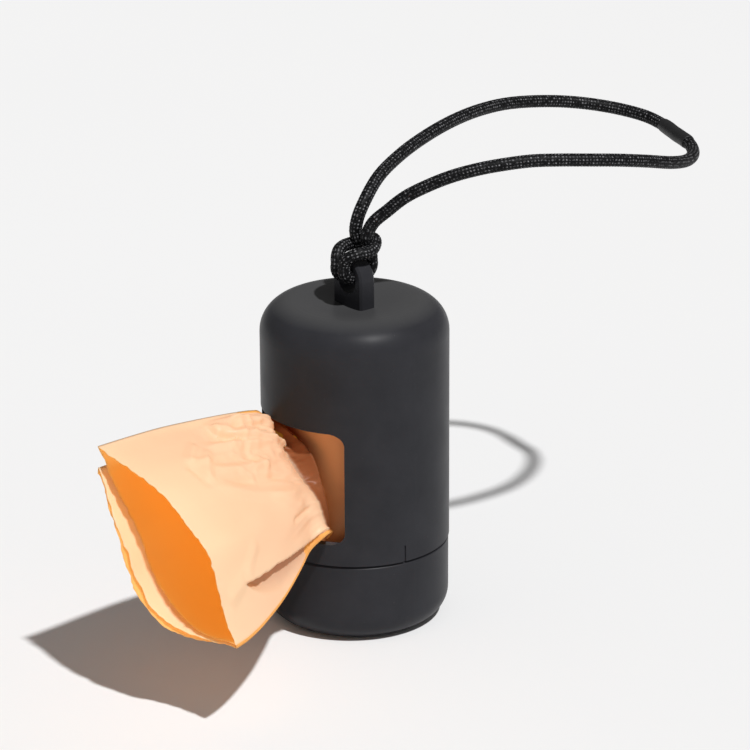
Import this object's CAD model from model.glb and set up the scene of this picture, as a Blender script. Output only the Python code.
"""Looks of the dog waste bag dispenser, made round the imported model.

All sizes are in metres, in the model's frame: the origin is the centre of the base, +Z is up
and the window faces -Y.
"""
import math

import bpy
import numpy as np
from mathutils import Euler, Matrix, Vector, noise


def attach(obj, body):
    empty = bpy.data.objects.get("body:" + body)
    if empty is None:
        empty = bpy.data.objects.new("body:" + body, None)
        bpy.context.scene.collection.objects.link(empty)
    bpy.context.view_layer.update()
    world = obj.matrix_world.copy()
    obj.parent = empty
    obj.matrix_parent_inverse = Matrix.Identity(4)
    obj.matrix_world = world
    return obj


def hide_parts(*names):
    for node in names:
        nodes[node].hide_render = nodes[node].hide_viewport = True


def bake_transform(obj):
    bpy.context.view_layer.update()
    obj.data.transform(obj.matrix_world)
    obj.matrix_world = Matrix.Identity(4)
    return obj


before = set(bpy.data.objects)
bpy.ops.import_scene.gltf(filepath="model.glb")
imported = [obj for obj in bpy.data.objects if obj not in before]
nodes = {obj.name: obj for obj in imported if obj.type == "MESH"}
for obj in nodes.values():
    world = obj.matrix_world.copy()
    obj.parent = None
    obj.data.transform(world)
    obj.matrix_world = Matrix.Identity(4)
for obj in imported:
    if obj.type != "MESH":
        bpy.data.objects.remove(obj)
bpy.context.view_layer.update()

MM = 0.001


# ---------------------------------------------------------------- camera
CAMERA_TURN = 52.0          # degrees from the middle of the window, towards +X
CAMERA_RISE = 21.75         # degrees above the horizon
CAMERA_AWAY = 900 * MM
AIM_HEIGHT = 39.7 * MM      # the point on the body's axis that the camera is set by
AIM_PIXEL = (355.4, 455.4)  # where that point shows in the 750 pixel frame
FRAME_PIXELS = 750
FOCAL_PIXELS = 3754
CAMERA_ROLL = -0.42         # degrees
SENSOR = 36.0


def make_camera():
    """Camera at the photograph's place, turned a little so that the aim point shows off centre."""
    turn, rise = math.radians(CAMERA_TURN), math.radians(CAMERA_RISE)
    aim = Vector((0, 0, AIM_HEIGHT))
    back = Vector((math.sin(turn) * math.cos(rise), -math.cos(turn) * math.cos(rise), math.sin(rise)))
    data = bpy.data.cameras.new("photo_camera")
    data.sensor_width = SENSOR
    data.lens = FOCAL_PIXELS / FRAME_PIXELS * SENSOR
    data.clip_start = 0.05
    camera = bpy.data.objects.new("photo_camera", data)
    bpy.context.scene.collection.objects.link(camera)
    camera.location = aim + back * CAMERA_AWAY
    look = (-back).to_track_quat("-Z", "Y")
    middle = FRAME_PIXELS / 2
    up = math.atan((AIM_PIXEL[1] - middle) / FOCAL_PIXELS)
    right = math.atan((middle - AIM_PIXEL[0]) / FOCAL_PIXELS)
    nudge = Euler((up, -right, math.radians(CAMERA_ROLL)), "XYZ").to_quaternion()
    camera.rotation_euler = (look @ nudge).to_euler()
    bpy.context.scene.camera = camera


make_camera()


# ---------------------------------------------------------------- helpers
def mix(a, b, t):
    """The value a share t of the way from a to b."""
    return a + (b - a) * t


def smooth(t):
    """A soft step from 0 to 1."""
    t = np.clip(t, 0.0, 1.0)
    return t * t * (3 - 2 * t)


def fade_in(at, start, length):
    """0 up to the start, and 1 from the given length past it."""
    return smooth((at - start) / length)


def fade_out(at, end, length):
    """1 up to the given length before the end, and 0 from the end on."""
    return smooth((end - at) / length)


def mesh_object(name, verts, faces, smooth_faces=True):
    """A mesh object from lists of points and faces."""
    mesh = bpy.data.meshes.new(name)
    mesh.from_pydata([tuple(map(float, v)) for v in verts], [], [tuple(map(int, f)) for f in faces])
    mesh.polygons.foreach_set("use_smooth", [smooth_faces] * len(mesh.polygons))
    mesh.update()
    obj = bpy.data.objects.new(name, mesh)
    bpy.context.scene.collection.objects.link(obj)
    return obj


def tube_faces(rings, columns, flip=False):
    """Faces of a tube whose points are numbered ring by ring."""
    faces = []
    for i in range(rings - 1):
        for k in range(columns):
            a, b = i * columns + k, i * columns + (k + 1) % columns
            face = (a, b, b + columns, a + columns)
            faces.append(face[::-1] if flip else face)
    return faces


def closed_curve(points, step):
    """Points every step or so along a smooth closed curve through the given ones."""
    pts = [Vector(p) for p in points]
    count = len(pts)
    out = []
    for i in range(count):
        p0, p1, p2, p3 = (pts[(i + j) % count] for j in (-1, 0, 1, 2))
        pieces = max(1, round((p2 - p1).length / step))
        # centripetal spacing keeps close knots of points from looping
        t01, t12, t23 = ((b - a).length ** 0.5 + 1e-9 for a, b in ((p0, p1), (p1, p2), (p2, p3)))
        m1 = p2 - p1 + t12 * ((p1 - p0) / t01 - (p2 - p0) / (t01 + t12))
        m2 = p2 - p1 + t12 * ((p3 - p2) / t23 - (p3 - p1) / (t12 + t23))
        for k in range(pieces):
            t = k / pieces
            out.append((2 * t**3 - 3 * t**2 + 1) * p1 + (t**3 - 2 * t**2 + t) * m1
                       + (-2 * t**3 + 3 * t**2) * p2 + (t**3 - t**2) * m2)
    return out


def frames_along(points, closed=False):
    """Two directions across the line at each of its points, carried along without twist."""
    pts = np.array([tuple(p) for p in points])
    if closed:
        ahead, behind = np.roll(pts, -1, axis=0), np.roll(pts, 1, axis=0)
    else:
        ahead, behind = np.vstack([pts[1:], pts[-1:]]), np.vstack([pts[:1], pts[:-1]])
    tangent = ahead - behind
    tangent /= np.linalg.norm(tangent, axis=1)[:, None]
    side = np.zeros_like(pts)
    last = np.cross(tangent[0], [0.0, 0.0, 1.0])
    if np.linalg.norm(last) < 0.1:
        last = np.array([1.0, 0.0, 0.0])
    for i, t in enumerate(tangent):
        last = last - t * last.dot(t)
        last /= np.linalg.norm(last)
        side[i] = last
    return side, np.cross(tangent, side)


# ---------------------------------------------------------------- materials
def new_material(name):
    """An empty material with one shader."""
    material = bpy.data.materials.new(name)
    material.use_nodes = True
    tree = material.node_tree
    tree.nodes.clear()
    out = tree.nodes.new("ShaderNodeOutputMaterial")
    shader = tree.nodes.new("ShaderNodeBsdfPrincipled")
    tree.links.new(shader.outputs[0], out.inputs[0])
    return material, tree, shader


def mix_colour(tree, factor, first, second):
    """Blend of two colours, each a plain colour or the output of a node."""
    node = tree.nodes.new("ShaderNodeMixRGB")
    tree.links.new(factor, node.inputs[0])
    for place, colour in ((1, first), (2, second)):
        if isinstance(colour, tuple):
            node.inputs[place].default_value = (*colour, 1)
        else:
            tree.links.new(colour, node.inputs[place])
    return node.outputs[0]


def noise_node(tree, scale, detail, rough, stretch=(1, 1, 1)):
    """Noise over the object's own coordinates, which are metres."""
    place = tree.nodes.new("ShaderNodeTexCoord")
    mapping = tree.nodes.new("ShaderNodeMapping")
    mapping.inputs["Scale"].default_value = stretch
    tree.links.new(place.outputs["Object"], mapping.inputs[0])
    texture = tree.nodes.new("ShaderNodeTexNoise")
    texture.inputs["Scale"].default_value = scale
    texture.inputs["Detail"].default_value = detail
    texture.inputs["Roughness"].default_value = rough
    tree.links.new(mapping.outputs[0], texture.inputs["Vector"])
    return texture


def ramp(tree, source, stops):
    """A colour ramp over a value: stops are (place, colour)."""
    node = tree.nodes.new("ShaderNodeValToRGB")
    elements = node.color_ramp.elements
    while len(elements) < len(stops):
        elements.new(0.5)
    for element, (place, colour) in zip(elements, stops):
        element.position = place
        element.color = (*colour, 1)
    tree.links.new(source, node.inputs[0])
    return node


def bump(tree, shader, height, strength, distance):
    """Fine relief from a value, up to a distance in metres."""
    node = tree.nodes.new("ShaderNodeBump")
    node.inputs["Strength"].default_value = strength
    node.inputs["Distance"].default_value = distance
    tree.links.new(height, node.inputs["Height"])
    tree.links.new(node.outputs[0], shader.inputs["Normal"])


def grey(value):
    """A colour without tint."""
    return (value, value, value)


def soft_touch_material():
    """Charcoal soft-touch moulding: satin, with a paler bloom of fine dust on what faces up."""
    material, tree, shader = new_material("soft_touch")
    tone = noise_node(tree, scale=90, detail=5, rough=0.6)
    base = ramp(tree, tone.outputs[0], [(0.3, (0.024, 0.0242, 0.028)), (0.7, (0.031, 0.0313, 0.036))])
    place = tree.nodes.new("ShaderNodeTexCoord")
    split = tree.nodes.new("ShaderNodeSeparateXYZ")
    tree.links.new(place.outputs["Normal"], split.inputs[0])
    bloom = ramp(tree, split.outputs["Z"], [(0.75, grey(0)), (1.0, grey(1))])
    dusty = mix_colour(tree, bloom.outputs[0], base.outputs[0], (0.060, 0.0602, 0.062))
    dust = noise_node(tree, scale=2600, detail=2, rough=0.5)
    specks = ramp(tree, dust.outputs[0], [(0.74, grey(0)), (0.8, grey(0.35))])
    colour = mix_colour(tree, specks.outputs[0], dusty, (0.16, 0.16, 0.165))
    tree.links.new(colour, shader.inputs["Base Color"])
    sheen = noise_node(tree, scale=160, detail=3, rough=0.5)
    rough = ramp(tree, sheen.outputs[0], [(0.3, grey(0.37)), (0.7, grey(0.42))])
    tree.links.new(rough.outputs[0], shader.inputs["Roughness"])
    shader.inputs["Specular IOR Level"].default_value = 0.1
    grain = noise_node(tree, scale=5200, detail=2, rough=0.5)
    bump(tree, shader, grain.outputs[0], strength=0.2, distance=0.00003)
    return material


def braid_material():
    """Black nylon yarn with a little lustre and pale stitches."""
    material, tree, shader = new_material("braid")
    tone = noise_node(tree, scale=1500, detail=3, rough=0.6)
    base = ramp(tree, tone.outputs[0], [(0.35, (0.002, 0.002, 0.0025)), (0.7, (0.006, 0.006, 0.007))])
    stitch = tree.nodes.new("ShaderNodeAttribute")
    stitch.attribute_name = "fleck"
    wear = noise_node(tree, scale=1500, detail=2, rough=0.6)
    shown = ramp(tree, wear.outputs[0], [(0.44, grey(0)), (0.62, grey(1))])
    amount = tree.nodes.new("ShaderNodeMath")
    amount.operation = "MULTIPLY"
    tree.links.new(stitch.outputs["Fac"], amount.inputs[0])
    tree.links.new(shown.outputs[0], amount.inputs[1])
    colour = mix_colour(tree, amount.outputs[0], base.outputs[0], (0.5, 0.5, 0.52))
    tree.links.new(colour, shader.inputs["Base Color"])
    shader.inputs["Roughness"].default_value = 0.55
    shader.inputs["Specular IOR Level"].default_value = 0.12
    fibres = noise_node(tree, scale=9000, detail=2, rough=0.5)
    bump(tree, shader, fibres.outputs[0], strength=0.35, distance=0.00004)
    return material


def sleeve_material():
    """Plain black shrink tube."""
    material, tree, shader = new_material("sleeve")
    tone = noise_node(tree, scale=400, detail=3, rough=0.5)
    base = ramp(tree, tone.outputs[0], [(0.3, (0.006, 0.006, 0.007)), (0.7, (0.011, 0.011, 0.012))])
    tree.links.new(base.outputs[0], shader.inputs["Base Color"])
    shader.inputs["Roughness"].default_value = 0.5
    ripples = noise_node(tree, scale=1200, detail=2, rough=0.5)
    bump(tree, shader, ripples.outputs[0], strength=0.15, distance=0.00005)
    return material


def film_material(name, pale, deep, roughness, through=None, share=0.0, inner_glow=None):
    """Film, pale in the open and deeper where it lies in a fold. Thin film also lets a share of
    the light through, and its inside keeps a little of what scatters round in the bag."""
    material, tree, shader = new_material(name)
    tone = noise_node(tree, scale=60, detail=5, rough=0.6)
    light = ramp(tree, tone.outputs[0], [(0.3, tuple(0.96 * c for c in pale)), (0.7, pale)])
    fold = tree.nodes.new("ShaderNodeAttribute")
    fold.attribute_name = "depth"
    base = mix_colour(tree, fold.outputs["Fac"], light.outputs[0], deep)
    tree.links.new(base, shader.inputs["Base Color"])
    shader.inputs["Roughness"].default_value = roughness
    shader.inputs["Specular IOR Level"].default_value = 0.22
    grain = noise_node(tree, scale=700, detail=4, rough=0.6)
    bump(tree, shader, grain.outputs[0], strength=0.12, distance=0.0001)
    if inner_glow:
        shader.inputs["Emission Color"].default_value = (*inner_glow, 1)
        shader.inputs["Emission Strength"].default_value = 1 / (1 - share)
    if through:
        passing = tree.nodes.new("ShaderNodeBsdfTranslucent")
        tree.links.new(mix_colour(tree, fold.outputs["Fac"], through, deep), passing.inputs["Color"])
        both = tree.nodes.new("ShaderNodeMixShader")
        both.inputs[0].default_value = share
        tree.links.new(shader.outputs[0], both.inputs[1])
        tree.links.new(passing.outputs[0], both.inputs[2])
        out = next(node for node in tree.nodes if node.type == "OUTPUT_MATERIAL")
        tree.links.new(both.outputs[0], out.inputs[0])
    return material


def card_material():
    """Plain brown paper tube."""
    material, tree, shader = new_material("card")
    tone = noise_node(tree, scale=700, detail=5, rough=0.6, stretch=(1, 1, 0.3))
    base = ramp(tree, tone.outputs[0], [(0.3, (0.36, 0.26, 0.16)), (0.7, (0.5, 0.38, 0.25))])
    tree.links.new(base.outputs[0], shader.inputs["Base Color"])
    shader.inputs["Roughness"].default_value = 0.85
    fibres = noise_node(tree, scale=2500, detail=4, rough=0.6)
    bump(tree, shader, fibres.outputs[0], strength=0.3, distance=0.00006)
    return material


SOFT_TOUCH = soft_touch_material()
BRAID = braid_material()
SLEEVE = sleeve_material()
PEACH = (0.99, 0.83, 0.60)
APRICOT = (0.98, 0.56, 0.26)
ORANGE = (1.0, 0.43, 0.17)
BROWN_ORANGE = (0.40, 0.14, 0.055)
FILM_OUT = film_material("film_outside", PEACH, BROWN_ORANGE, roughness=0.38,
                         through=(1.0, 0.90, 0.66), share=0.4)
FILM_IN = film_material("film_inside", APRICOT, BROWN_ORANGE, roughness=0.42,
                        through=(1.0, 0.80, 0.42), share=0.7, inner_glow=(0.13, 0.055, 0.004))
ROLL_FILM = film_material("roll_film", ORANGE, BROWN_ORANGE, roughness=0.4)
CARD = card_material()


def paint(obj, *materials):
    """Gives an object these materials in place of its own."""
    obj.data.materials.clear()
    for material in materials:
        obj.data.materials.append(material)


# ---------------------------------------------------------------- wrist cord
CORD_R = 3.1 * MM / 2
# the free loop and the two halves of the hitch, as in the part's source, in millimetres
CORD_LOOP = [
    (-2.2, 2.3, 95), (-1.9, 2.7, 98.5), (-2.5, 5.8, 102.8), (-5, 11.5, 106.2), (-8.5, 20.5, 108.7),
    (-12.5, 31.5, 110.3), (-16.5, 43.5, 111.1), (-20, 55, 110.9), (-22.3, 66, 110), (-22.5, 76.5, 108.6),
    (-21, 85, 107.2), (-18, 91.2, 106), (-13, 95.8, 105), (-6.6, 98.3, 104.2), (-0.6, 98.3, 103.5),
    (5.4, 97.2, 102.7), (11.4, 96.1, 101.9), (17.4, 92, 101.8), (23.8, 84.3, 102.9), (28.6, 75, 105.2),
    (31, 63.5, 108.4), (31, 55, 110.3), (29.3, 47, 111.5), (26.5, 40, 112.2), (23.7, 34.5, 112.4),
    (20.8, 29, 112), (17.3, 23.7, 111), (13.5, 18.5, 109.3), (10, 14, 107), (6.8, 10, 104.3),
    (4.2, 6.8, 101), (2.3, 3.9, 98), (1.7, 2.6, 95)]
HITCH_RIGHT = [
    (1.6, 3, 93), (1.6, 3.7, 91.2), (1.6, 3.9, 89), (1.5, 4, 87.4), (1.4, 3.3, 86.1),
    (1.4, 1.8, 85.6), (1.4, 0, 85.6), (1.4, -1.8, 85.6), (1.4, -3.3, 86.1), (1.4, -4, 87.4),
    (1.4, -4, 88.8), (1.7, -3.8, 90.1), (2.5, -3.1, 91), (3.5, -1.4, 91.7), (3.9, 0.5, 91.8),
    (3.7, 2.3, 92), (2.9, 3.9, 92.7), (1.6, 5.1, 93.2), (0, 5.6, 93.3)]
HITCH_LEFT = [
    (-1.8, 2.8, 93), (-1.6, 3.7, 91.2), (-1.6, 3.9, 89), (-1.5, 4, 87.4), (-1.4, 3.3, 86.1),
    (-1.4, 1.8, 85.6), (-1.4, 0, 85.6), (-1.4, -1.8, 85.6), (-1.4, -3.3, 86.1), (-1.4, -4, 87.4),
    (-1.4, -3.9, 88.8), (-1.8, -3.6, 90.2), (-2.6, -2.4, 91.4), (-3.2, -0.6, 91.9), (-3.4, 1.2, 92),
    (-3, 3, 92.3), (-1.8, 4.8, 93)]
SLEEVE_MIDDLE = Vector((5.4, 97.2, 102.7)) * MM
SLEEVE_LENGTH = 12 * MM
SLEEVE_R = 1.8 * MM
SLEEVE_BORE_R = 1.62 * MM
SLEEVE_POINTS = 40
BRAID_CORE = 0.9            # radius between the yarns, as a share of the cord's
YARN_RISE = 0.12            # how far the yarns stand out, as a share of the cord's radius
YARNS = 12                  # yarns that run each way round the braid
BRAID_PITCH = 10 * MM       # length in which a yarn goes once round
FLECK_WIDE, FLECK_LONG = 0.2, 0.3           # size of a pale stitch, as shares of a crossing
RING_STEP = 0.25 * MM
RING_POINTS = 60


def cord_route():
    """The whole cord from the middle of the hitch's band, round the loop and back to it."""
    route = [HITCH_RIGHT[-1]] + HITCH_LEFT[::-1] + CORD_LOOP + HITCH_RIGHT[:-1]
    return closed_curve([Vector(p) * MM for p in route], RING_STEP)


def braid_height(along, turn):
    """Height of the yarns and of their pale stitches, both from 0 to 1, in an over and under braid."""
    a = turn * YARNS + along / BRAID_PITCH * YARNS
    b = turn * YARNS - along / BRAID_PITCH * YARNS
    over = (np.floor(a) + np.floor(b)) % 2 < 1
    across = np.where(over, a, b) % 1.0
    length = np.where(over, b, a) % 1.0
    height = np.sin(np.pi * across) ** 0.5 * (0.6 + 0.4 * np.sin(np.pi * length))
    # the yarns of one way show a pale stitch where they cross over
    fleck = np.exp(-((across - 0.5) / FLECK_WIDE) ** 2 - ((length - 0.5) / FLECK_LONG) ** 2) * over
    return height, fleck


def make_cord():
    """The braided tube. Its two flat ends lie one ring step apart, behind the knot."""
    path = cord_route()
    side, up = frames_along(path, closed=True)
    pts = np.array([tuple(p) for p in path])
    gaps = np.linalg.norm(np.roll(pts, -1, axis=0) - pts, axis=1)
    along = np.concatenate([[0], np.cumsum(gaps)[:-1]])
    turn = np.arange(RING_POINTS) / RING_POINTS
    height, fleck = braid_height(along[:, None], turn[None, :])
    radius = CORD_R * (BRAID_CORE + YARN_RISE * height)
    angle = 2 * math.pi * turn
    ring = (np.cos(angle)[None, :, None] * side[:, None, :]
            + np.sin(angle)[None, :, None] * up[:, None, :])
    verts = (pts[:, None, :] + radius[:, :, None] * ring).reshape(-1, 3)
    faces = tube_faces(len(pts), RING_POINTS)
    caps = [tuple(range(RING_POINTS))[::-1],
            tuple((len(pts) - 1) * RING_POINTS + k for k in range(RING_POINTS))]
    cord = mesh_object("wrist_cord_braid", verts, faces + caps)
    layer = cord.data.attributes.new("fleck", "FLOAT", "POINT")
    layer.data.foreach_set("value", fleck.ravel().astype(np.float32))
    paint(cord, BRAID)
    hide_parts("wrist_cord", "cord_hitch")
    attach(cord, "housing")
    return cord, path


def make_sleeve(path):
    """A short sleeve shrunk over the cord, following its bend, with softened ends."""
    middle = min(range(len(path)), key=lambda i: (path[i] - SLEEVE_MIDDLE).length)
    half = round(SLEEVE_LENGTH / 2 / RING_STEP)
    line = path[middle - half:middle + half + 1]
    side, up = frames_along(line)
    pts = np.array([tuple(p) for p in line])
    s = np.linspace(-1, 1, len(pts))
    softened = 1 - 0.08 * np.abs(s) ** 14
    uneven = 1 + 0.01 * np.sin(s * 9)
    outer = SLEEVE_R * softened * uneven
    rings = [(0, SLEEVE_BORE_R)] + list(enumerate(outer)) + [(len(pts) - 1, SLEEVE_BORE_R)]
    angle = 2 * math.pi * np.arange(SLEEVE_POINTS) / SLEEVE_POINTS
    verts = []
    for i, r in rings:
        verts += list(pts[i] + r * (np.cos(angle)[:, None] * side[i] + np.sin(angle)[:, None] * up[i]))
    faces = tube_faces(len(rings), SLEEVE_POINTS)
    sleeve = mesh_object("cord_sleeve_shrink", verts, faces)
    paint(sleeve, SLEEVE)
    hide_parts("cord_sleeve")
    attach(sleeve, "housing")
    return sleeve


cord, cord_path = make_cord()
sleeve = make_sleeve(cord_path)


# ---------------------------------------------------------------- first bag
# The first bag is one crumpled film tube, flattened and folded in half. Its four layers run
# from the film's two edges, on the left of its torn mouth, to the fold on the right:
# 1 outer front, 2 inner front, 3 inner back, 4 outer back. Layers 1 and 4 are one wall of the
# tube and layers 2 and 3 the other. All places are millimetres in the model's frame.

# the edges and the fold of the film, from the roll, out through the window and on to the mouth
EDGE_LINE = [
    (-12.3, -12.8, 60.0), (-10.6, -15.2, 58.6), (-8.6, -17.6, 55.6), (-6.8, -20.0, 52.7),
    (-5.9, -21.8, 52.6), (-5.2, -23.9, 54.9), (-4.4, -27, 56.6), (-3.7, -34, 57.8),
    (-3.2, -44, 58.8), (-1.2, -56, 60.3), (0.6, -66.5, 61.1), (1.5, -75, 61.3)]
FOLD_LINE = [
    (-12.3, -12.8, 12.9), (-7.4, -16.2, 15.4), (1.5, -17.8, 20.5), (8.5, -15.9, 26.3),
    (12.2, -18.2, 27.0), (15.2, -22.6, 28.0), (17.3, -27, 28.0), (22.6, -33.8, 27.0),
    (29.8, -44, 25.4), (36.2, -54.5, 24.3), (39.6, -61.5, 23.7), (41, -66, 23.4)]
MOUTH_LEAN = 0.228          # how far the mouth slopes back per millimetre sideways
WINDOW_LOW, WINDOW_HIGH = 25.6, 53.6
ROOT_STATION = 0.4          # where the film begins to rise from the roll, in these lists
THROAT_STATION, NECK_STATION = 3.4, 4.6     # inside the window and just out of it
MOUTH_EASE = 0.8            # below 1, the layers take the mouth's shape sooner on the way out
# how far each layer stands off the straight line across the mouth, sideways and up, and how far
# it reaches out from it
MOUTH_SHAPE = {
    1: [(0, 0, 0), (3.1, 2.9, 1.0), (5.9, 5.8, 1.8), (7.9, 7.6, 2.0), (8.7, 7.5, 2.0), (9.3, 7.4, 2.0),
        (6.2, 5.0, 1.6), (2.4, 2.4, 0.8), (0, 0, 0)],
    2: [(0, 0, 0), (-2.3, -2.8, -1.0), (-3.9, -4.5, -1.8), (-5.1, -5.9, -2.0), (-7.1, -8.1, -2.0),
        (-7.6, -9.0, -2.0), (-6.4, -8.6, -1.6), (-3.6, -5.3, -0.8), (0, 0, 0)],
    3: [(0, -5.2, 0), (-0.9, -6.5, 1.1), (-2.1, -7.0, 2.6), (-3.9, -8.1, 2.7), (-6.2, -10.0, 2.5),
        (-6.3, -11.9, 2.1), (-5.3, -10.3, 0.3), (-3.3, -6.1, -0.6), (0, -0.6, 0)],
    4: [(0, -6.6, 0), (-0.9, -8.3, 1.3), (-1.3, -9.7, 3.1), (-3.9, -12.0, 3.2), (-5.3, -13.7, 2.9),
        (-5.1, -13.9, 2.0), (-4.9, -11.4, 0.0), (-3.4, -6.6, -1.0), (0, -0.8, 0)]}
# how far each layer stands off the straight line across the film, square to it, as (share of the
# way across, distance): inside the window, where the film bulges most, and just out of it
THROAT_SHAPE = {
    1: [(0, 0), (0.14, 4.2), (0.28, 7.6), (0.36, 8.8), (0.48, 8.5), (0.61, 7.1), (0.77, 5.4), (0.89, 3.6),
        (1, 0.2)],
    2: [(0, 0), (0.3, 5.2), (0.5, 6.2), (0.8, 3.8), (1, 0.1)],
    3: [(0, 0), (0.3, 3.4), (0.5, 4.2), (0.8, 2.4), (1, 0.1)],
    4: [(0, 0), (0.3, 2.0), (0.5, 2.6), (0.8, 1.4), (1, 0)]}
NECK_SHAPE = {
    1: [(0, 0), (0.09, -0.3), (0.18, -0.4), (0.24, 0.8), (0.31, 1.0), (0.4, 2.0), (0.53, 2.7), (0.69, 4.4),
        (0.76, 4.6), (0.87, 2.8), (1, -0.6)],
    2: [(0, 0), (0.5, 1.4), (0.8, 2.4), (1, -0.3)],
    3: [(0, -0.5), (0.5, -1.2), (1, -0.6)],
    4: [(0, -0.8), (0.3, -2.6), (0.6, -3.6), (0.85, -2.6), (1, -0.9)]}
# the small tab that curls out of the fold beside the window: how far it stands out, sideways and
# up, the stations it lies between, the stations it takes to swell and to fade, and how pointed it is
TAB_REACH = (3.2, 3.4)
TAB_FROM, TAB_TO = 4.0, 6.2
TAB_SWELL, TAB_FADE = 0.5, 1.3
TAB_POINT = 9
WEB_SHAPE = {1: 0.45, 2: 0.15, 3: -0.15, 4: -0.45}
LAYER_WIDE = 60             # width of one layer, from the film's edge to the fold
FILM_COLUMNS = {1: 110, 2: 56, 3: 56, 4: 80}
FILM_ROW = 0.42             # distance between rows
MEASURE_STEPS = 600         # places at which the run of the film is measured
CORNER_PART = 14            # corners of a profile are rounded over one part in this, each way
FILM_THICK = 0.12
ROLL_CLEAR = 17.5           # no film comes nearer to the body's axis than this
WALL_NEAR, WALL_FAR = 19.8, 23.1            # the housing's wall and a margin, from that axis
WINDOW_CLEAR = 0.5          # room left at the window's upper and lower edges
FRONT_SIDE = (0.8, -0.3, 0.5)               # the direction that raised creases stand out in
EDGE_HOLD = 0.05            # share of a layer's width over which its creases die out at each side
TEETH_ROWS = (0, 0.1, 0.3, 0.6, 1.0)        # share of the torn teeth that each of the last rows takes
TEETH_COUNT, TEETH_HEIGHT = 34, 0.45
NICKS_COUNT, NICKS_HEIGHT = 90, 0.25


def smooth_line(table, at):
    """Smooth values at places counted in the table's own steps, which may be fractions."""
    table = np.asarray(table, float)
    last = len(table) - 1
    i = np.clip(np.floor(at).astype(int), 0, last - 1)
    t = np.asarray(at - i)[..., None]
    p0, p1 = table[np.maximum(i - 1, 0)], table[i]
    p2, p3 = table[i + 1], table[np.minimum(i + 2, last)]
    return 0.5 * (2 * p1 + (p2 - p0) * t + (2 * p0 - 5 * p1 + 4 * p2 - p3) * t ** 2
                  + (3 * p1 - p0 - 3 * p2 + p3) * t ** 3)


def film_stations():
    """Row places in the edge lists, evenly spaced along the film."""
    fine = np.linspace(0, len(EDGE_LINE) - 1, MEASURE_STEPS)
    middle = (smooth_line(EDGE_LINE, fine) + smooth_line(FOLD_LINE, fine)) / 2
    run = np.concatenate([[0], np.cumsum(np.linalg.norm(np.diff(middle, axis=0), axis=1))])
    rows = round(run[-1] / FILM_ROW)
    return np.interp(np.linspace(0, run[-1], rows + 1), run, fine)


def soft_profile(points, s):
    """Straight steps between (place, height) points, with their corners rounded."""
    height = np.interp(s, *zip(*points))
    wide = max(1, len(s) // CORNER_PART)
    return np.convolve(np.pad(height, wide, "edge"), np.ones(2 * wide + 1) / (2 * wide + 1), "valid")


def film_layer(layer, stations):
    """Smooth middle surface of one layer, as rows of points from the edge to the fold."""
    s = np.linspace(0, 1, FILM_COLUMNS[layer])
    mouth = smooth_line(MOUTH_SHAPE[layer], s * (len(MOUTH_SHAPE[layer]) - 1))
    throat, neck = soft_profile(THROAT_SHAPE[layer], s), soft_profile(NECK_SHAPE[layer], s)
    edge, fold = smooth_line(EDGE_LINE, stations), smooth_line(FOLD_LINE, stations)
    last = len(EDGE_LINE) - 1
    rows = []
    for at, a, b in zip(stations, edge, fold):
        line = a + (b - a) * s[:, None]
        along = (b - a)[[0, 2]] / np.linalg.norm((b - a)[[0, 2]])
        square = np.array([-along[1], 0, along[0]])
        out = fade_in(at, NECK_STATION, last - NECK_STATION)
        rise = fade_in(at, ROOT_STATION, THROAT_STATION - ROOT_STATION) * (1 - 0.75 * out) * (1 - out)
        shape = mix(throat, neck, np.clip((at - THROAT_STATION) / (NECK_STATION - THROAT_STATION), 0, 1))
        line = line + rise * shape[:, None] * square
        tab = fade_in(at, TAB_FROM, TAB_SWELL) * fade_out(at, TAB_TO, TAB_FADE)
        line[:, 0] += TAB_REACH[0] * tab * s ** TAB_POINT
        line[:, 2] += TAB_REACH[1] * tab * s ** TAB_POINT
        line = line + WEB_SHAPE[layer] * (1 - out) * np.sin(np.pi * s)[:, None] * square
        share = out ** MOUTH_EASE
        line[:, 0] += share * mouth[:, 0]
        line[:, 2] += share * mouth[:, 1]
        line[:, 1] += share * (MOUTH_LEAN * mouth[:, 0] - mouth[:, 2])
        rows.append(line)
    return np.array(rows)


def value_noise(points, seed):
    """Perlin noise at each of the flat points, which are in noise cells."""
    shift = Vector((seed * 17.3, seed * 5.9, seed * 11.1))
    flat = points.reshape(-1, points.shape[-1])
    out = np.array([noise.noise(Vector((*p, 0)) + shift) for p in flat])
    return out.reshape(points.shape[:-1])


def ridges(points, seed):
    """Noise folded into sharp ridges, from 0 to 1."""
    return 1 - np.minimum(1, np.abs(value_noise(points, seed)) * 2.2)


def fold_mark(u, v, start, end, width, height):
    """A crease between two places of a layer: a ridge with straight sides that fades at its ends."""
    (u0, v0), (u1, v1) = start, end
    length = math.hypot(u1 - u0, v1 - v0)
    du, dv = (u1 - u0) / length, (v1 - v0) / length
    along = ((u - u0) * du + (v - v0) * dv) / length
    off = (u - u0) * -dv + (v - v0) * du
    side = np.clip(1 - np.abs(off) / width, 0, 1)
    return height * side * fade_in(along, 0, CREASE_FADE) * fade_out(along, 1, CREASE_FADE)


CREASE_FADE = 0.25          # share of a crease's length over which it fades at each end
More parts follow.
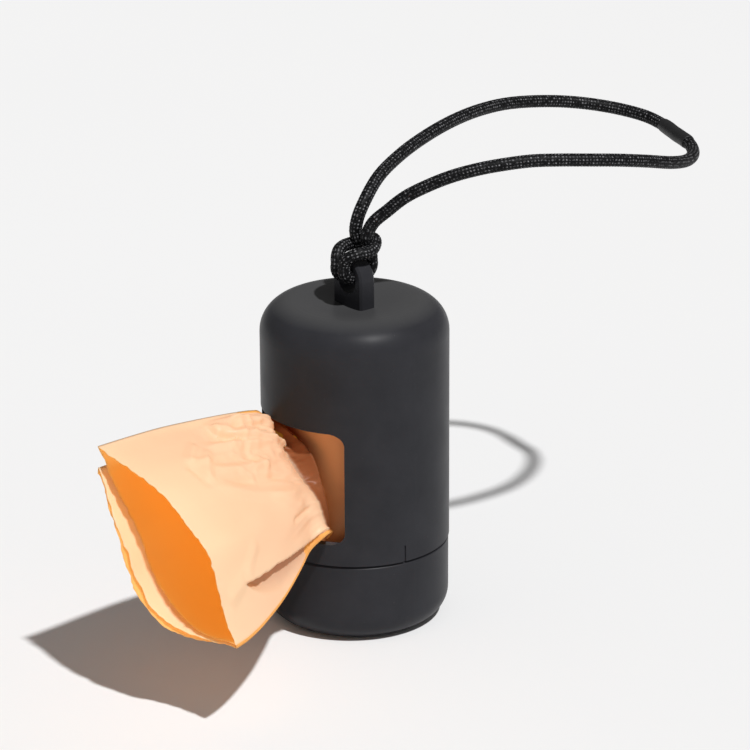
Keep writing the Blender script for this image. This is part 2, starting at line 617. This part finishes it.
# Creases of the front layer: (start, end, width, height), placed by the distance across from the
# film's edge and the distance out from the window. Raised creases have a positive height.
FRONT_CREASES = [
    ((10.4, 31.0), (17.4, 0.5), 2.6, 1.3), ((11.0, 29.0), (23.0, 38.5), 2.4, 0.8),
    ((14.0, 39.0), (24.0, 36.8), 2.2, -0.7), ((13.8, 38.6), (16.2, 31.0), 1.8, 0.5),
    ((22.6, 38.0), (41.0, 2.0), 2.8, 0.8), ((8.2, 30.5), (14.8, 38.6), 2.2, 0.6),
    ((3.6, 21.4), (8.2, 20.6), 2.0, 0.6), ((16.2, 32.5), (19.6, 13.5), 2.0, -0.8),
    ((19.2, 33.0), (23.8, 11.0), 1.9, 0.7), ((22.8, 33.0), (29.8, 9.5), 1.8, -0.6),
    ((20.6, 24.8), (27.6, 20.4), 1.6, 0.5), ((17.8, 15.4), (26.0, 13.4), 1.7, 0.6),
    ((6.4, 18.6), (8.0, 3.2), 1.6, -0.8), ((9.4, 19.0), (12.2, 5.6), 1.6, 0.7),
    ((2.8, 16.0), (5.0, 4.0), 1.4, 0.6), ((32.0, 20.0), (44.0, 5.5), 2.2, 0.5),
    ((40.8, 31.4), (47.8, 40.4), 2.6, 0.4), ((47.4, 39.0), (50.8, 49.4), 3.0, 0.5),
    ((44.8, 14.4), (46.4, 3.0), 1.6, -0.7), ((26.0, 16.0), (36.0, 2.0), 1.8, -0.6)]
# The lines of the long pocket in the front layer and of the puffed fold over its top, as
# (distance out from the window, distance across from the film's edge)
POCKET_LINE = [(0.0, 58.0), (2.0, 57.6), (13.0, 54.0), (24.8, 50.6), (33.2, 49.8), (40.0, 48.6)]
PUFF_LINE = [(-2.0, 18.4), (1.7, 17.0), (5.5, 16.0), (10.0, 13.8), (15.5, 12.4), (21.8, 8.2), (24.0, 3.0)]
PUFF_HEIGHT, PUFF_EDGE = 1.5, 1.1
POCKET_WIDE, POCKET_END = 7.4, 40.5
POCKET_DROP = 0.7           # depth of the pocket, as a share of its width
POCKET_FLOOR_SLOPE = 0.22   # it is never deeper than this share of the distance to the fold
POCKET_SHADE = 0.6          # how far its colour goes towards that of a deep fold
LIP_HEIGHT, LIP_WIDE = 0.9, 3.0
# the crumples and the soft swells of the front layer: (height, noise cells per millimetre, seed)
CRUMPLES = [(0.85, 0.11, 3), (0.40, 0.27, 4)]
SWELLS = [(0.9, 0.035, 5), (0.22, 0.12, 6)]
RIDGE_LEVEL = 0.6           # taken off ridges, so that they rise above the film and sink below it


def front_relief(u, v, where):
    """Height of the front layer's folds, and how far each place is inside the pocket."""
    height = sum(fold_mark(u, v, *mark) for mark in FRONT_CREASES)
    # the puffed fold over the top edge
    line = np.interp(v, *zip(*PUFF_LINE), left=PUFF_LINE[0][1], right=0.0)
    over = np.clip((line - u) / PUFF_EDGE, 0, 1) * fade_out(v, 25, 6) * fade_in(v, -3, 4)
    height += PUFF_HEIGHT * over * np.clip(u / 3.0, 0, 1)
    # the long pocket, whose upper lip stands over it
    line = np.interp(v, *zip(*POCKET_LINE))
    wide = POCKET_WIDE * np.sin(np.pi * np.clip((v + 1.0) / (POCKET_END + 1.0), 0, 1)) ** 0.8
    past = u - line
    across = np.clip(past / 0.5, 0, 1) * np.clip(1 - past / np.maximum(wide, 0.01), 0, 1)
    inside = across * (v < POCKET_END)
    to_fold = np.clip(LAYER_WIDE - u, 0, LAYER_WIDE)
    lip = LIP_HEIGHT * np.exp(-(past / LIP_WIDE) ** 2) * (past <= 0.3) * smooth(wide / 2)
    height += -np.minimum(POCKET_DROP * wide * inside, POCKET_FLOOR_SLOPE * to_fold) + lip
    # crumples, strongest near the window and over the upper middle
    patch = fade_out(v, 34, 20) * fade_out(u, 34, 16) * fade_in(u, -2, 6)
    for rise, cells, seed in CRUMPLES:
        height += rise * patch * (ridges(where * cells, seed) - RIDGE_LEVEL)
    for rise, cells, seed in SWELLS:
        height += rise * value_noise(where * cells, seed)
    return height, POCKET_SHADE * inside * smooth(wide / 1.5)


def layer_relief(layer, where, v):
    """Height of the soft dents and crumples of the other layers."""
    near = fade_out(v, 26, 22)
    scale = 0.4 if layer in (2, 3) else 1.0
    dents = 0.5 * value_noise(where * 0.045, 10 + layer)
    crumples = 0.9 * near * (ridges(where * 0.10, 20 + layer) - RIDGE_LEVEL)
    fine = 0.35 * near * (ridges(where * 0.28, 30 + layer) - RIDGE_LEVEL)
    return scale * (dents + crumples + fine) + 0.12 * value_noise(where * 0.2, 40 + layer)


def gather(u, v, seed):
    """Long narrow pleats where the film is drawn together."""
    pleats = ridges(np.stack([u / 4.2, v / 30.0], axis=-1), seed) - RIDGE_LEVEL
    fine = ridges(np.stack([u / 1.9, v / 22.0], axis=-1), seed + 1) - RIDGE_LEVEL
    amount = 0.30 + 0.55 * fade_in(v, -6, 7)
    return (0.8 * pleats + 0.35 * fine) * amount * fade_out(v, 20, 18) * fade_in(v, -12, 4)


def layer_normals(grid, towards):
    """Directions square to a grid of points, on the side that faces the given direction."""
    across = np.gradient(grid, axis=1)
    out = np.gradient(grid, axis=0)
    normal = np.cross(across, out)
    normal /= np.linalg.norm(normal, axis=-1, keepdims=True) + 1e-9
    flip = np.sign((normal * np.array(towards)).sum(axis=-1).mean())
    return normal * flip


def join_layers(layers):
    """The layers side by side round the tube. Layer 2 ends one column short of layer 1's start,
    because both are the film's edge."""
    return np.concatenate([layers[1], layers[4][:, ::-1], layers[3], layers[2][:, :0:-1]], axis=1)


def film_columns():
    """All four layers in order round the tube, and how deep each place lies in a fold."""
    stations = film_stations()
    neck_row = int(np.searchsorted(stations, NECK_STATION))
    out_mm = (np.arange(len(stations)) - neck_row) * FILM_ROW
    grids, depths = {}, {}
    for layer, columns in FILM_COLUMNS.items():
        base = film_layer(layer, stations)
        share = np.linspace(0, 1, columns)
        u, v = np.meshgrid(LAYER_WIDE * share, out_mm)
        where = np.stack([u, v], axis=-1)
        hold = np.minimum(smooth(share / EDGE_HOLD), smooth((1 - share) / EDGE_HOLD))[None, :]
        if layer == 1:
            height, depth = front_relief(u, v, where)
        else:
            height, depth = layer_relief(layer, where, v), np.zeros_like(u)
        pleating = 0.4 if layer == 1 else 1
        height = height * fade_in(v, -8, 8) + pleating * gather(u, v, 50 + layer)
        grid = base + (height * hold)[..., None] * layer_normals(base, FRONT_SIDE)
        # the torn mouth: each layer ends in small uneven teeth
        teeth = np.stack([share * TEETH_COUNT, share * 0 + layer], axis=-1)
        nicks = np.stack([share * NICKS_COUNT, share * 0], axis=-1)
        torn = TEETH_HEIGHT * value_noise(teeth, 60 + layer) + NICKS_HEIGHT * value_noise(nicks, 70 + layer)
        ends = np.array(TEETH_ROWS)
        step = base[-1] - base[-2]
        step /= np.linalg.norm(step, axis=-1, keepdims=True)
        grid[-len(ends):] += ends[:, None, None] * (torn[:, None] * step)[None]
        grids[layer], depths[layer] = grid, np.maximum(depth, fade_out(v, 0.5, 1.6))
    return join_layers(grids), join_layers(depths)


def keep_clear(points):
    """Moves film that would touch the roll or the window's upper and lower edges."""
    radius = np.hypot(points[..., 0], points[..., 1])
    push = np.maximum(radius, ROLL_CLEAR) / np.maximum(radius, 1e-6)
    points[..., 0] *= push
    points[..., 1] *= push
    radius = np.maximum(radius, ROLL_CLEAR)
    in_wall = (radius > WALL_NEAR) & (radius < WALL_FAR)
    low, high = WINDOW_LOW + WINDOW_CLEAR, WINDOW_HIGH - WINDOW_CLEAR
    points[..., 2] = np.where(in_wall, np.clip(points[..., 2], low, high), points[..., 2])
    return points


def make_film():
    """The film as an outer and an inner skin, joined at the torn mouth and at the roll."""
    points, depth = film_columns()
    points = keep_clear(points)
    rows, columns = points.shape[:2]
    verts = points.reshape(-1, 3) * MM
    faces = tube_faces(rows, columns, flip=True)
    # a mesh of the outer skin alone gives the directions square to the film
    outer = mesh_object("film_probe", verts, faces)
    normals = np.zeros(len(verts) * 3)
    outer.data.vertices.foreach_get("normal", normals)
    bpy.data.meshes.remove(outer.data)
    inner = verts - normals.reshape(-1, 3) * FILM_THICK * MM
    count = len(verts)
    inner_faces = [tuple(count + i for i in face[::-1]) for face in faces]
    mouth = [(rows - 1) * columns + k for k in range(columns)]
    rim = [(b, a, count + a, count + b) for a, b in zip(mouth, mouth[1:] + mouth[:1])]
    root = list(range(columns))
    rim += [(a, b, count + b, count + a) for a, b in zip(root, root[1:] + root[:1])]
    film = mesh_object("first_bag_film", np.vstack([verts, inner]), faces + inner_faces + rim)
    layer = film.data.attributes.new("depth", "FLOAT", "POINT")
    layer.data.foreach_set("value", np.tile(depth.ravel(), 2).astype(np.float32))
    paint(film, FILM_OUT, FILM_IN)
    film.data.polygons.foreach_set("material_index", [0] * len(faces) + [1] * (len(inner_faces) + len(rim)))
    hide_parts("lead_bag", "film_web")
    # the film between these two places, in the window, stretches with the bag
    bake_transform(film)
    # its length is the run from the roll to the torn mouth
    return film


film = make_film()


# ---------------------------------------------------------------- housing, cap and roll
for name in ("housing", "base_cap"):
    paint(nodes[name], SOFT_TOUCH)
paint(nodes["roll_core"], CARD)
for name in nodes:
    if name.startswith("bag_"):
        paint(nodes[name], ROLL_FILM)


# ---------------------------------------------------------------- floor and light
FLOOR_REACH = 3.0           # how far it goes each way from the middle
FLOOR_COLOUR = (0.86, 0.86, 0.862)
SUN_TRAVEL = Vector((-0.61, 0.032, -1.0))
SUN_STRENGTH = 3.15
SUN_ANGLE = 2.2             # degrees across, which sets how soft the shadows' edges are
SKY_COLOUR = (1.0, 0.985, 0.97)
SKY_STRENGTH = 0.2


def make_floor():
    """A wide pale floor, level with the dispenser's base."""
    corners = [(x * FLOOR_REACH, y * FLOOR_REACH, 0) for x, y in ((-1, -1), (1, -1), (1, 1), (-1, 1))]
    floor = mesh_object("floor", corners, [(0, 1, 2, 3)], smooth_faces=False)
    material, tree, shader = new_material("pale_floor")
    tone = noise_node(tree, scale=3, detail=2, rough=0.5)
    base = ramp(tree, tone.outputs[0], [(0.3, FLOOR_COLOUR), (0.7, tuple(c + 0.01 for c in FLOOR_COLOUR))])
    tree.links.new(base.outputs[0], shader.inputs["Base Color"])
    shader.inputs["Roughness"].default_value = 0.8
    shader.inputs["Specular IOR Level"].default_value = 0.1
    paint(floor, material)


def make_light():
    """One sun and an even sky."""
    data = bpy.data.lights.new("window_sun", "SUN")
    data.energy = SUN_STRENGTH
    data.angle = math.radians(SUN_ANGLE)
    sun = bpy.data.objects.new("window_sun", data)
    sun.rotation_euler = SUN_TRAVEL.to_track_quat("-Z", "Y").to_euler()
    bpy.context.scene.collection.objects.link(sun)
    world = bpy.data.worlds.new("pale_room")
    world.use_nodes = True
    background = world.node_tree.nodes["Background"]
    background.inputs[0].default_value = (*SKY_COLOUR, 1)
    background.inputs[1].default_value = SKY_STRENGTH
    bpy.context.scene.world = world
    bpy.context.scene.view_settings.view_transform = "Standard"


make_floor()
make_light()
